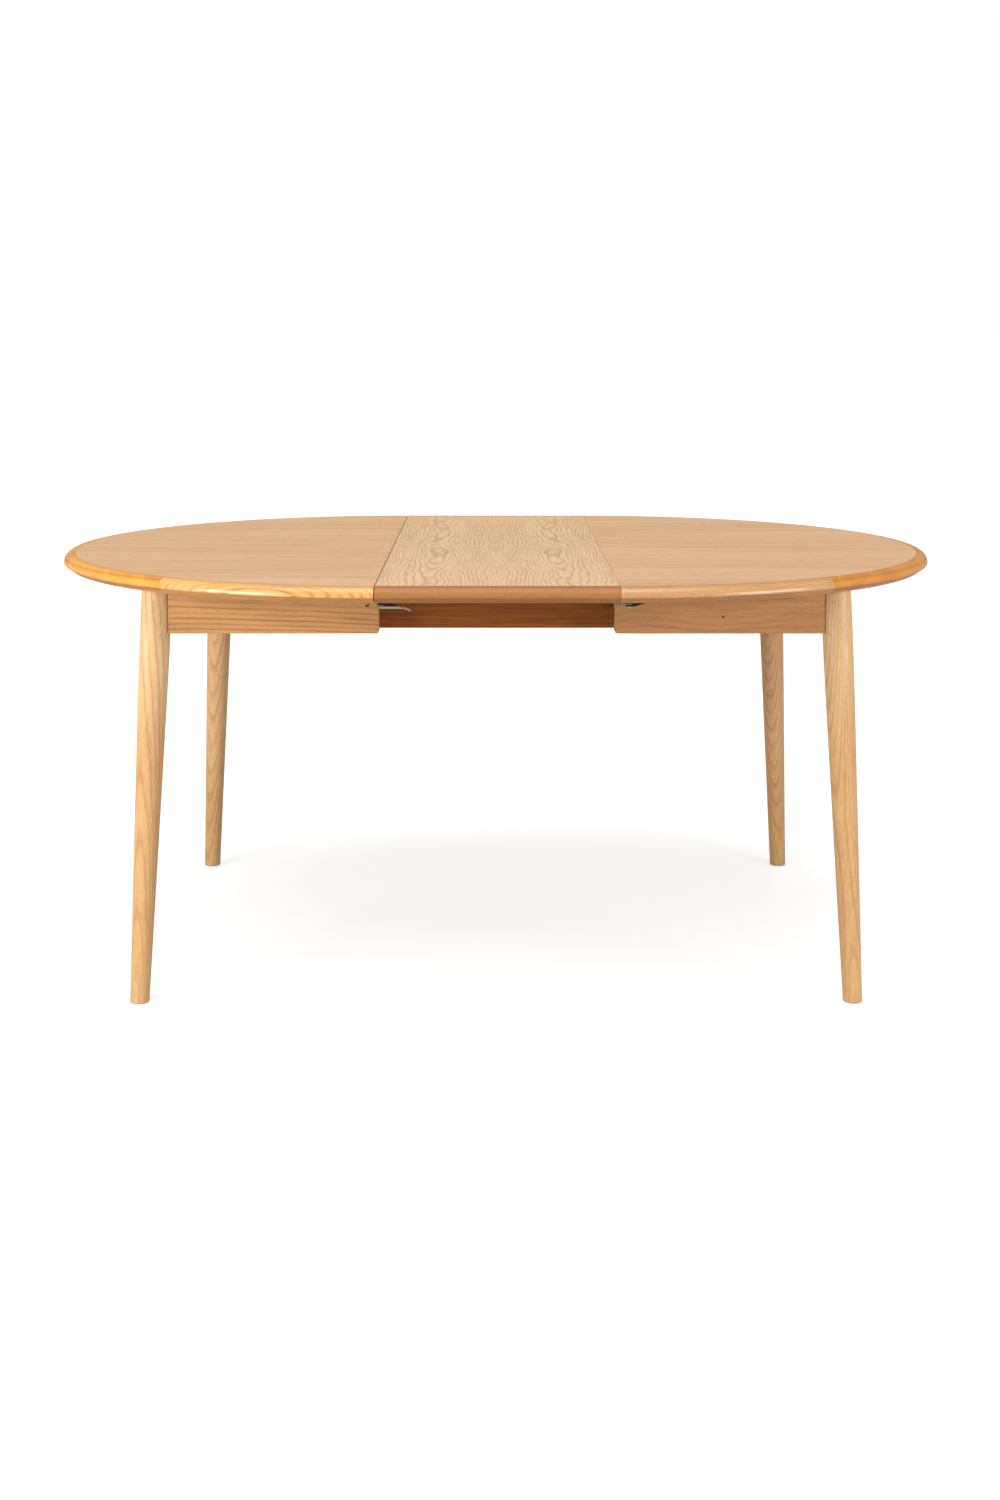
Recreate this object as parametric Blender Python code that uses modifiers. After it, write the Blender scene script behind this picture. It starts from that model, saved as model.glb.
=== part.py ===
"""A round dining table that opens to an oval around a folding centre leaf.

+X runs along the open table, +Y to its back and +Z up, from an origin on the floor
under the middle. The table stands open: its two halves are drawn apart on the rails of
the centre frame, and the two panels of the leaf lie flat between them.
"""
import math

import bmesh
import bpy
from mathutils import Matrix, Vector

# Driving dimensions, in metres.
HEIGHT = 0.750
TOP_THICKNESS = 0.027
TOP_RADIUS = 0.625
LIPPING_WIDTH = 0.021
NOSE_DROP = 0.0165  # from the top face down to the widest point of the rim
BEVEL_RECESS = 0.0130  # how far the bevel under the rim is cut back
LIPPING_FLAT = 0.25  # share of the width that lies level with the top
LIPPING_JOINT = math.radians(54)  # from the table's long axis
RIM_STEP = math.radians(4.5)  # one flat of the rim, and of the half top inside it
LEAF_SPACE = 0.400
LEFT_SEAM = 0.0015
RIGHT_SEAM = 0.0005
FOLD_GAP = 0.0004
FIT = 0.0003  # between pieces that touch

FOOT_OFFSET = 0.420  # leg centre from the middle of a half's round, both ways
SHOULDER_X, SHOULDER_Y = 0.391, 0.383  # leg centre at the underside of the top
FOOT_RADIUS = 0.0166
FOOT_CHAMFER = 0.0012
LEG_TAPER = 0.0166  # growth of the radius for each metre up
SHOULDER_RADIUS = 0.0262
SHOULDER_TAPER = 0.0080
LEG_BLEND = 0.0008  # rounding between the taper and the shoulder
LEG_HEIGHTS = (0.0015, 0.25, 0.47, 0.56, 0.60, 0.63, 0.66, 0.69)

APRON_FACE = 0.401  # outer face, from the middle line
END_APRON_FACE = 0.409  # outer face, from the middle of a half's round
APRON_THICKNESS = 0.022
APRON_LOW = 0.640
APRON_SETBACK = 0.0045  # from the seam
APRON_CORNER = 0.005
BLOCK_LEG = 0.044
BLOCK_LOW = 0.655

RAIL_FACE = 0.338
RAIL_THICKNESS = 0.022
RAIL_LENGTH = 0.740
GROOVE_LOW, GROOVE_HIGH, GROOVE_DEPTH = 0.6975, 0.7105, 0.010
RUNNER_START, RUNNER_END = 0.205, 0.370
CLEAT_THICKNESS = 0.024
CLEAT_LOW = 0.690
TONGUE_CLEARANCE = 0.001
BEARER_OFFSET, BEARER_WIDTH = 0.130, 0.024
BEARER_LOW, BEARER_HIGH = 0.640, 0.660

GEAR_MODULE = 0.002
PINION_TEETH = 12
PRESSURE_ANGLE = math.radians(25)
ADDENDUM, DEDENDUM = 0.8 * GEAR_MODULE, 1.05 * GEAR_MODULE
BACKLASH = 0.0003
GEAR_LOW, GEAR_HIGH = 0.5990, 0.6110
AXLE_RADIUS = 0.004
RACK_INNER, RACK_OUTER = 0.030, 0.430
RACK_BACK = 0.022
TOOTHED_LENGTH = 0.230
RACK_END_LAND = 0.0045  # plain bar before the first tooth
UPTURN_THICKNESS, UPTURN_FOOT, UPTURN_FOOT_THICKNESS = 0.012, 0.040, 0.004
CHANNEL_HALF_WIDTH, CHANNEL_WALL = 0.0226, 0.0114
CHANNEL_WEB = 0.621  # underside of the board between the walls

LATCH_Y = 0.550
LEFT_PIVOT, RIGHT_PIVOT = -0.193, 0.215  # where a lever turns, along the table
PIVOT_Z = 0.7125
LEVER_CLOSED = math.radians(18)  # how far a lever rises from flat to locked
BAIL_CRANK = Vector((0.007, 0, -0.001))
LEFT_BAIL_REACH, RIGHT_BAIL_REACH = 0.0050, 0.0225  # cross wire, from the lever's pivot
BAIL_HALF_WIDTH, WIRE_RADIUS = 0.0088, 0.0010
LEVER_HALF_WIDTH, PIN_RADIUS = 0.0070, 0.0015
SHEET = 0.0014
BASE_START, BASE_END, BASE_HALF_WIDTH = -0.0045, 0.0500, 0.013  # from the pivot
EAR_RADIUS, CHEEK_RADIUS, CHEEK_THICKNESS = 0.0032, 0.0034, 0.0012
SCREW_RADIUS, SCREW_HEAD = 0.0036, 0.0008
LEFT_HOOK_X, RIGHT_HOOK_X = -0.2120, 0.1895
HOOK_LOW, HOOK_LENGTH, KEEPER_FOOT, KEEPER_HALF_WIDTH = 0.7090, 0.0055, 0.022, 0.005

HINGE_CUP_RADIUS, HINGE_CUP_DEPTH = 0.007, 0.016
HINGE_CUP_X = 0.140

UNDERSIDE = HEIGHT - TOP_THICKNESS
HALF_SPACE = LEAF_SPACE / 2
PITCH_RADIUS = GEAR_MODULE * PINION_TEETH / 2
TOOTH_PITCH = math.pi * GEAR_MODULE
SIDES = (("left", -1), ("right", 1))
ENDS = (("front", -1), ("back", 1))


def clear_scene():
    for old in list(bpy.data.objects):
        bpy.data.objects.remove(old, do_unlink=True)


def new_collection(name):
    made = bpy.data.collections.new(name)
    bpy.context.scene.collection.children.link(made)
    return made


def finish(name, colour, roughness, metallic=0.0):
    made = bpy.data.materials.new(name)
    made.use_nodes = True
    shader = made.node_tree.nodes["Principled BSDF"]
    shader.inputs["Base Color"].default_value = (*colour, 1.0)
    shader.inputs["Roughness"].default_value = roughness
    shader.inputs["Metallic"].default_value = metallic
    return made


def add(name, mesh, material, parent=None):
    """A sub-part from a mesh in world coordinates, carried by the empty of its body."""
    obj = bpy.data.objects.new(name, mesh)
    table.objects.link(obj)
    mesh.materials.clear()
    mesh.materials.append(material)
    if parent:
        obj.parent = parent
        obj.matrix_parent_inverse = Matrix.Translation(-body_origin(parent))
    return obj


def body_origin(empty):
    origin = empty.location.copy()
    if empty.parent:
        origin += body_origin(empty.parent)
    return origin


def body(name, origin, parent=None):
    """The empty that a body's pieces hang on, placed on the body's joint axis."""
    empty = bpy.data.objects.new(name, None)
    table.objects.link(empty)
    empty.empty_display_size = 0.05
    empty.location = Vector(origin)
    if parent:
        empty.parent = parent
        empty.location -= body_origin(parent)
    return empty


def mesh_from(bm):
    bmesh.ops.recalc_face_normals(bm, faces=bm.faces[:])
    mesh = bpy.data.meshes.new("shape")
    bm.to_mesh(mesh)
    bm.free()
    return mesh


def evaluated_mesh(obj):
    """The mesh that a curve or a modified object makes, welded; the object is removed."""
    bpy.context.view_layer.update()
    shown = obj.evaluated_get(bpy.context.evaluated_depsgraph_get())
    mesh = bpy.data.meshes.new_from_object(shown)
    mesh.transform(obj.matrix_world)
    bpy.data.objects.remove(obj, do_unlink=True)
    bm = bmesh.new()
    bm.from_mesh(mesh)
    bmesh.ops.remove_doubles(bm, verts=bm.verts[:], dist=1e-6)
    return mesh_from(bm)


def box_mesh(low, high):
    low, high = Vector(low), Vector(high)
    bm = bmesh.new()
    bmesh.ops.create_cube(bm, size=1.0)
    bmesh.ops.scale(bm, vec=high - low, verts=bm.verts[:])
    bmesh.ops.translate(bm, vec=(low + high) / 2, verts=bm.verts[:])
    return mesh_from(bm)


def between(corner_a, corner_b):
    """The low and high corners of the box that two opposite corners span."""
    low = [min(a, b) for a, b in zip(corner_a, corner_b)]
    high = [max(a, b) for a, b in zip(corner_a, corner_b)]
    return low, high


def prism_mesh(outline, start, end, along="Z"):
    """A flat outline made solid from start to end along one axis.

    Its points are (x, y) along Z, (y, z) along X and (x, z) along Y.
    """
    curve = bpy.data.curves.new("outline", "CURVE")
    curve.dimensions = "2D"
    curve.fill_mode = "BOTH"
    curve.extrude = (end - start) / 2
    spline = curve.splines.new("POLY")
    spline.points.add(len(outline) - 1)
    for point, (u, v) in zip(spline.points, outline):
        point.co = (u, v, 0, 1)
    spline.use_cyclic_u = True
    obj = bpy.data.objects.new("outline", curve)
    bpy.context.scene.collection.objects.link(obj)
    middle = (start + end) / 2
    obj.matrix_world = {
        "Z": Matrix.Translation((0, 0, middle)),
        "X": Matrix(((0, 0, 1, middle), (1, 0, 0, 0), (0, 1, 0, 0), (0, 0, 0, 1))),
        "Y": Matrix(((1, 0, 0, 0), (0, 0, -1, middle), (0, 1, 0, 0), (0, 0, 0, 1))),
    }[along]
    bm = bmesh.new()
    bm.from_mesh(evaluated_mesh(obj))
    bmesh.ops.dissolve_limit(bm, angle_limit=math.radians(0.1), verts=bm.verts[:], edges=bm.edges[:])
    return mesh_from(bm)


def turned_mesh(profile, steps):
    """A profile of (radius, height) points, listed from the top down, turned about Z."""
    bm = bmesh.new()
    points = [bm.verts.new((radius, 0, z)) for radius, z in profile]
    for above, below in zip(points, points[1:]):
        bm.edges.new((above, below))
    mesh = bpy.data.meshes.new("profile")
    bm.to_mesh(mesh)
    bm.free()
    obj = bpy.data.objects.new("profile", mesh)
    bpy.context.scene.collection.objects.link(obj)
    screw = obj.modifiers.new("Screw", "SCREW")
    screw.steps = screw.render_steps = steps
    screw.use_merge_vertices = True
    screw.merge_threshold = 0.00001
    return evaluated_mesh(obj)


def cylinder_mesh(radius, start, end, centre, along="Z", segments=16):
    bm = bmesh.new()
    bmesh.ops.create_cone(
        bm, cap_ends=True, segments=segments, radius1=radius, radius2=radius, depth=end - start
    )
    turn = {
        "Z": Matrix(),
        "X": Matrix.Rotation(math.pi / 2, 4, "Y"),
        "Y": Matrix.Rotation(math.pi / 2, 4, "X"),
    }
    bmesh.ops.transform(bm, matrix=turn[along], verts=bm.verts[:])
    place = Vector(centre)
    place["XYZ".index(along)] = (start + end) / 2
    bmesh.ops.translate(bm, vec=place, verts=bm.verts[:])
    return mesh_from(bm)


def wire_mesh(points, radius):
    curve = bpy.data.curves.new("wire", "CURVE")
    curve.dimensions = "3D"
    curve.bevel_depth = radius
    curve.bevel_resolution = 2
    curve.use_fill_caps = True
    spline = curve.splines.new("POLY")
    spline.points.add(len(points) - 1)
    for point, place in zip(spline.points, points):
        point.co = (*place, 1)
    obj = bpy.data.objects.new("wire", curve)
    bpy.context.scene.collection.objects.link(obj)
    return evaluated_mesh(obj)


def combine(mesh, others, operation, solver="EXACT"):
    """The mesh with the others united to it or cut from it, one after another."""
    for other in others:
        base = bpy.data.objects.new("base", mesh)
        tool = bpy.data.objects.new("cutter", other)
        bpy.context.scene.collection.objects.link(base)
        cutters.objects.link(tool)
        tool.hide_render = True
        tool.display_type = "WIRE"
        boolean = base.modifiers.new("Boolean", "BOOLEAN")
        boolean.operation = operation
        boolean.solver = solver
        boolean.object = tool
        mesh = evaluated_mesh(base)
        bpy.data.objects.remove(tool, do_unlink=True)
    return mesh


def arc(centre_u, centre_v, radius, start, end, steps):
    angles = [start + (end - start) * i / steps for i in range(steps + 1)]
    return [(centre_u + radius * math.cos(a), centre_v + radius * math.sin(a)) for a in angles]


def lipping_section():
    """The rim's section: distance out from its inner edge, and height."""
    flat = LIPPING_WIDTH * LIPPING_FLAT
    reach = LIPPING_WIDTH - flat
    section = [(0, UNDERSIDE), (0, HEIGHT)]
    for i in range(6):
        angle = math.pi / 2 * i / 5
        section.append((flat + reach * math.sin(angle), HEIGHT - NOSE_DROP * (1 - math.cos(angle))))
    section.append((LIPPING_WIDTH - 0.0006, HEIGHT - NOSE_DROP - 0.0016))
    section.append((LIPPING_WIDTH - BEVEL_RECESS, UNDERSIDE))
    return section


def rim_mesh(centre_x, start, end):
    """A stretch of the round rim between two angles."""
    inner = TOP_RADIUS - LIPPING_WIDTH + FIT / 2
    section = [(max(u, FIT / 2) - FIT / 2, z) for u, z in lipping_section()]
    bm = bmesh.new()
    face = bm.faces.new([bm.verts.new((inner + u, 0, z)) for u, z in section])
    bmesh.ops.rotate(bm, matrix=Matrix.Rotation(start, 3, "Z"), verts=bm.verts[:])
    bmesh.ops.spin(
        bm,
        geom=[face, *face.edges, *face.verts],
        cent=(0, 0, 0),
        axis=(0, 0, 1),
        angle=end - start,
        steps=max(6, round(abs(end - start) / RIM_STEP)),
        use_duplicate=False,
    )
    bmesh.ops.translate(bm, vec=(centre_x, 0, 0), verts=bm.verts[:])
    return mesh_from(bm)


def leg_radius(z):
    """A taper that grows upwards, blended into a shoulder that narrows a little to the top."""
    taper = FOOT_RADIUS + LEG_TAPER * z
    shoulder = SHOULDER_RADIUS + SHOULDER_TAPER * (UNDERSIDE - z)
    return (taper + shoulder) / 2 - math.hypot((taper - shoulder) / 2, LEG_BLEND)


def leg_mesh(side, end, spare=0.0):
    """A turned leg, leaned outwards both ways; spare makes it thicker, as a cutter."""
    top = UNDERSIDE - FIT
    heights = [top, *reversed(LEG_HEIGHTS)]
    profile = [(0, top), *((leg_radius(z) + spare, z) for z in heights)]
    profile += [(leg_radius(0) - FOOT_CHAMFER + spare, 0), (0, 0)]
    mesh = turned_mesh(profile, 24)
    lean_x, lean_y = (SHOULDER_X - FOOT_OFFSET) / UNDERSIDE, (SHOULDER_Y - FOOT_OFFSET) / UNDERSIDE
    mesh.transform(Matrix.Shear("XY", 4, (side * lean_x, end * lean_y)))
    mesh.transform(Matrix.Translation((side * (HALF_SPACE + FOOT_OFFSET), end * FOOT_OFFSET, 0)))
    return mesh


def half_panel_mesh(side):
    radius = TOP_RADIUS - LIPPING_WIDTH - FIT / 2
    outline = arc(0, 0, radius, -math.pi / 2, math.pi / 2, round(math.pi / RIM_STEP))
    return prism_mesh([(side * (HALF_SPACE + x), y) for x, y in outline], UNDERSIDE, HEIGHT)


def side_apron_mesh(side, end):
    """The apron under the straight stretch of the rim, rounded at its lower inner corner."""
    start = HALF_SPACE + APRON_SETBACK
    stop = HALF_SPACE + SHOULDER_X
    top = UNDERSIDE - FIT
    corner = arc(start + APRON_CORNER, APRON_LOW + APRON_CORNER, APRON_CORNER, math.pi, 1.5 * math.pi, 5)
    outline = [(stop, top), (start, top), *corner, (stop, APRON_LOW)]
    outer, inner = end * APRON_FACE, end * (APRON_FACE - APRON_THICKNESS)
    mesh = prism_mesh([(side * x, z) for x, z in outline], min(outer, inner), max(outer, inner), "Y")
    return combine(mesh, [leg_mesh(side, end, FIT)], "DIFFERENCE")


def end_apron_mesh(side):
    outer = side * (HALF_SPACE + END_APRON_FACE)
    inner = outer - side * APRON_THICKNESS
    low, high = between(
        (outer, -SHOULDER_Y, APRON_LOW), (inner, SHOULDER_Y, UNDERSIDE - FIT)
    )
    return combine(box_mesh(low, high), [leg_mesh(side, end, FIT) for end in (-1, 1)], "DIFFERENCE")


def corner_block_mesh(side, end):
    """A triangular block glued into the corner behind a leg."""
    x = HALF_SPACE + END_APRON_FACE - APRON_THICKNESS - FIT
    y = APRON_FACE - APRON_THICKNESS - FIT
    outline = [(x, y), (x - BLOCK_LEG, y), (x, y - BLOCK_LEG)]
    mesh = prism_mesh([(side * u, end * v) for u, v in outline], BLOCK_LOW, UNDERSIDE - FIT)
    return combine(mesh, [leg_mesh(side, end, FIT)], "DIFFERENCE")


def rail_mesh(end):
    """A rail of the centre frame, with the runners' groove along its outer face."""
    outer, inner = RAIL_FACE, RAIL_FACE - RAIL_THICKNESS
    depth = outer - GROOVE_DEPTH
    top = UNDERSIDE - FIT
    outline = [(inner, APRON_LOW), (outer, APRON_LOW), (outer, GROOVE_LOW), (depth, GROOVE_LOW)]
    outline += [(depth, GROOVE_HIGH), (outer, GROOVE_HIGH), (outer, top), (inner, top)]
    return prism_mesh([(end * y, z) for y, z in outline], -RAIL_LENGTH / 2, RAIL_LENGTH / 2, "X")


def runner_mesh(side, end):
    """A cleat under a half, with the tongue that runs in the rail's groove."""
    face = RAIL_FACE + 2 * FIT
    tip = RAIL_FACE - GROOVE_DEPTH + TONGUE_CLEARANCE
    low, high = GROOVE_LOW + TONGUE_CLEARANCE, GROOVE_HIGH - TONGUE_CLEARANCE
    top = UNDERSIDE - FIT
    outline = [(face, CLEAT_LOW), (face + CLEAT_THICKNESS, CLEAT_LOW), (face + CLEAT_THICKNESS, top)]
    outline += [(face, top), (face, high), (tip, high), (tip, low), (face, low)]
    start, stop = sorted((side * RUNNER_START, side * RUNNER_END))
    return prism_mesh([(end * y, z) for y, z in outline], start, stop, "X")


def involute(angle):
    return math.tan(angle) - angle


def pinion_mesh():
    """A straight-toothed pinion with involute flanks, one tooth pointing at each rack."""
    base = PITCH_RADIUS * math.cos(PRESSURE_ANGLE)
    root, tip = PITCH_RADIUS - DEDENDUM, PITCH_RADIUS + ADDENDUM
    middle = math.pi / (2 * PINION_TEETH) - BACKLASH / (4 * PITCH_RADIUS) + involute(PRESSURE_ANGLE)
    flank = [(root, middle)]
    for i in range(4):
        radius = base + (tip - base) * i / 3
        flank.append((radius, middle - involute(math.acos(min(1, base / radius)))))
    outline = []
    for tooth in range(PINION_TEETH):
        centre = math.pi / 2 + 2 * math.pi * tooth / PINION_TEETH
        for radius, half in flank:
            outline.append((radius * math.cos(centre - half), radius * math.sin(centre - half)))
        for radius, half in reversed(flank):
            outline.append((radius * math.cos(centre + half), radius * math.sin(centre + half)))
    gear = prism_mesh(outline, GEAR_LOW, GEAR_HIGH)
    bore = cylinder_mesh(AXLE_RADIUS + 0.0001, GEAR_LOW - 0.01, GEAR_HIGH + 0.01, (0, 0, 0), segments=32)
    return combine(gear, [bore], "DIFFERENCE")


def rack_mesh(side):
    """A half's toothed bar, turned up at its outer end to screw under the half."""
    tip, root = PITCH_RADIUS - ADDENDUM, PITCH_RADIUS + DEDENDUM
    half_pitch_width = TOOTH_PITCH / 4 - BACKLASH / 4
    half_tip = half_pitch_width - ADDENDUM * math.tan(PRESSURE_ANGLE)
    half_root = half_pitch_width + DEDENDUM * math.tan(PRESSURE_ANGLE)
    outline = [(RACK_INNER, RACK_BACK), (RACK_INNER, root)]
    for tooth in range(round(TOOTHED_LENGTH / TOOTH_PITCH)):
        centre = RACK_INNER - RACK_END_LAND - tooth * TOOTH_PITCH
        # A gap, half a pitch from a tooth, faces the pinion's tooth at X = 0.
        centre += (TOOTH_PITCH / 2 - centre) % TOOTH_PITCH - TOOTH_PITCH
        outline += [(centre + half_root, root), (centre + half_tip, tip)]
        outline += [(centre - half_tip, tip), (centre - half_root, root)]
    outline += [(-RACK_OUTER, root), (-RACK_OUTER, RACK_BACK)]
    # Drawn for the left half, behind the pinion; the right one is the same turned half round.
    bar = prism_mesh(outline, GEAR_LOW, GEAR_HIGH)
    inset = 0.0002
    outer, low, top = -RACK_OUTER + inset, GEAR_LOW + inset, UNDERSIDE - FIT
    inner, foot, foot_low = outer + UPTURN_THICKNESS, outer + UPTURN_FOOT, top - UPTURN_FOOT_THICKNESS
    upturn = [(outer, low), (inner, low), (inner, foot_low), (foot, foot_low), (foot, top), (outer, top)]
    mesh = combine(bar, [prism_mesh(upturn, root + inset, RACK_BACK - inset, "Y")], "UNION", "MANIFOLD")
    if side > 0:
        mesh.transform(Matrix.Rotation(math.pi, 4, "Z"))
    return mesh


def channel_mesh():
    """The board under the bearers that carries the pinion and keeps the racks against it."""
    wide = CHANNEL_HALF_WIDTH + CHANNEL_WALL
    high, low = BEARER_LOW - FIT, GEAR_LOW + 0.001
    outline = [(-wide, high), (-wide, low)]
    outline += [(-CHANNEL_HALF_WIDTH, low), (-CHANNEL_HALF_WIDTH, CHANNEL_WEB)]
    outline += [(-y, z) for y, z in reversed(outline)]
    reach = BEARER_OFFSET + BEARER_WIDTH / 2
    return prism_mesh(outline, -reach, reach, "X")


def axle_mesh():
    """The pinion's shaft, with the flange that keeps the pinion on it."""
    flange = GEAR_LOW - 0.0005
    head = flange - 0.003
    top = CHANNEL_WEB - FIT
    profile = [(0, top), (0.009, top), (0.009, top - 0.003), (AXLE_RADIUS, top - 0.003)]
    profile += [(AXLE_RADIUS, flange), (0.008, flange), (0.008, head), (0, head)]
    return turned_mesh(profile, 32)


def tilt(point, angle):
    """A point of the XZ plane turned upwards about the origin."""
    x, _, z = point
    return Vector((x * math.cos(angle) - z * math.sin(angle), 0, x * math.sin(angle) + z * math.cos(angle)))


def latch_base_mesh():
    """A plate with two ears and the lever's pin, about the pin's centre."""
    top = UNDERSIDE - FIT - PIVOT_Z
    ear_in = LEVER_HALF_WIDTH - 0.0030
    ear_out = ear_in + SHEET
    plate = box_mesh((BASE_START, -BASE_HALF_WIDTH, top - SHEET), (BASE_END, BASE_HALF_WIDTH, top))
    ear_outline = [(BASE_START + 0.0005, top - SHEET / 2)]
    ear_outline += arc(0, 0, EAR_RADIUS, math.pi, 2 * math.pi, 8)
    ear_outline.append((2 * EAR_RADIUS, top - SHEET / 2))
    ears = [prism_mesh(ear_outline, *sorted((v * ear_in, v * ear_out)), "Y") for v in (-1, 1)]
    pin = cylinder_mesh(PIN_RADIUS, -LEVER_HALF_WIDTH, LEVER_HALF_WIDTH, (0, 0, 0), "Y")
    screw_low, screw_high = top - SHEET - SCREW_HEAD, top - SHEET / 2
    screws = [
        cylinder_mesh(SCREW_RADIUS, screw_low, screw_high, (BASE_END - 0.0043, v, 0))
        for v in (-0.008, 0.008)
    ]
    return combine(plate, [*ears, pin, *screws], "UNION")


def lever_mesh():
    """A folded sheet lever, flat, with a thumb tab bent down at its free end."""
    start, bend, low = -0.001, 0.0395, -0.0065
    strip = [(start, low), (bend, low), (bend + 0.0110, low - 0.0046), (bend + 0.0115, low - 0.0034)]
    strip += [(bend + 0.0003, low + SHEET), (start, low + SHEET)]
    inside = low + SHEET / 2
    cheek = [(start + 0.0002, inside), (0.036, inside), (0.035, low + SHEET + 0.0003), (0.014, 0.0012)]
    cheek += arc(0, 0, CHEEK_RADIUS, math.radians(75), math.radians(190), 6)
    cheek_out, cheek_in = LEVER_HALF_WIDTH, LEVER_HALF_WIDTH - CHEEK_THICKNESS
    plate = prism_mesh(strip, -cheek_out - 0.0002, cheek_out + 0.0002, "Y")
    cheeks = [prism_mesh(cheek, *sorted((v * cheek_in, v * cheek_out)), "Y") for v in (-1, 1)]
    lever = combine(plate, cheeks, "UNION")
    hole = cylinder_mesh(PIN_RADIUS + 0.0003, -0.02, 0.02, (0, 0, 0), "Y")
    return combine(lever, [hole], "DIFFERENCE")


def bail_mesh(crank, reach):
    """The wire loop that reaches from a lever's crank to the keeper."""
    bend = 0.003
    corner = arc(-reach + bend, BAIL_HALF_WIDTH - bend, bend, math.pi / 2, math.pi, 4)
    near = [(crank.x, BAIL_HALF_WIDTH), *corner]
    flat = near + [(x, -y) for x, y in reversed(near)]
    return wire_mesh([(x, y, crank.z) for x, y in flat], WIRE_RADIUS)


def keeper_mesh(hook_x):
    """A bent plate under a top: a screwed foot and a hook whose lip faces away from the seam."""
    top, lip, tip = UNDERSIDE - FIT, HOOK_LOW + 0.0026, HOOK_LENGTH - 0.0013
    outline = [(-KEEPER_FOOT, top), (0, top), (0, HOOK_LOW), (-HOOK_LENGTH, HOOK_LOW)]
    outline += [(-HOOK_LENGTH, lip), (-tip, lip), (-tip, HOOK_LOW + SHEET), (-SHEET, HOOK_LOW + SHEET)]
    outline += [(-SHEET, top - SHEET), (-KEEPER_FOOT, top - SHEET)]
    outline = [(hook_x + x, z) for x, z in outline]
    plate = prism_mesh(outline, -KEEPER_HALF_WIDTH, KEEPER_HALF_WIDTH, "Y")
    screw_low, screw_high = top - SHEET - 1.5 * SCREW_HEAD, top - SHEET / 2
    screw = cylinder_mesh(SCREW_RADIUS, screw_low, screw_high, (hook_x - 0.015, 0, 0))
    return combine(plate, [screw], "UNION")


def add_latch(prefix, y, pivot_x, closed, reach, base_body, keeper_body, keeper_name, hook_x):
    """One toggle latch: base and keeper, and the lever and bail on their pivots."""
    pivot = Vector((pivot_x, y, PIVOT_Z))
    base = latch_base_mesh()
    base.transform(Matrix.Translation(pivot))
    add(f"{prefix}_latch_base", base, steel, base_body)
    lever = lever_mesh()
    lever.transform(Matrix.Translation(pivot) @ Matrix.Rotation(-closed, 4, "Y"))
    lever_body = body(f"{prefix}_lever_axis", pivot, base_body)
    add(f"{prefix}_lever", lever, steel, lever_body)
    crank = tilt(BAIL_CRANK, closed)
    bail = bail_mesh(crank, reach)
    bail.transform(Matrix.Translation(pivot))
    bail_body = body(f"{prefix}_bail_axis", pivot + crank, lever_body)
    add(f"{prefix}_bail", bail, steel, bail_body)
    keeper = keeper_mesh(hook_x)
    keeper.transform(Matrix.Translation((0, y, 0)))
    add(keeper_name, keeper, steel, keeper_body)


def add_half(name, side, half):
    """One half of the table: its round top, aprons, legs, runners and rack."""
    add(f"{name}_top", half_panel_mesh(side), veneer, half)
    centre = side * HALF_SPACE
    joint_gap = FIT / 2 / TOP_RADIUS
    spans = {
        "tip": (-LIPPING_JOINT + joint_gap, LIPPING_JOINT - joint_gap),
        "front": (-math.pi / 2, -LIPPING_JOINT - joint_gap),
        "back": (LIPPING_JOINT + joint_gap, math.pi / 2),
    }
    for place, (start, end) in spans.items():
        if side < 0:
            start, end = math.pi - end, math.pi - start
        add(f"{name}_{place}_lipping", rim_mesh(centre, start, end), solid_wood, half)
    add(f"{name}_end_apron", end_apron_mesh(side), apron_wood, half)
    add(f"{name}_rack", rack_mesh(side), steel, half)
    for place, end in ENDS:
        add(f"{name}_{place}_apron", side_apron_mesh(side, end), apron_wood, half)
        add(f"{name}_{place}_leg", leg_mesh(side, end), leg_wood, half)
        add(f"{name}_{place}_corner_block", corner_block_mesh(side, end), frame_wood, half)
        add(f"{name}_{place}_runner", runner_mesh(side, end), frame_wood, half)


def add_centre_frame():
    for place, end in ENDS:
        add(f"{place}_rail", rail_mesh(end), frame_wood)
    reach = RAIL_FACE - RAIL_THICKNESS - FIT
    for name, side in SIDES:
        low, high = between(
            (side * (BEARER_OFFSET - BEARER_WIDTH / 2), -reach, BEARER_LOW),
            (side * (BEARER_OFFSET + BEARER_WIDTH / 2), reach, BEARER_HIGH),
        )
        add(f"{name}_bearer", box_mesh(low, high), frame_wood)
    add("gear_channel", channel_mesh(), frame_wood)
    add("gear_axle", axle_mesh(), steel)


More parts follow.
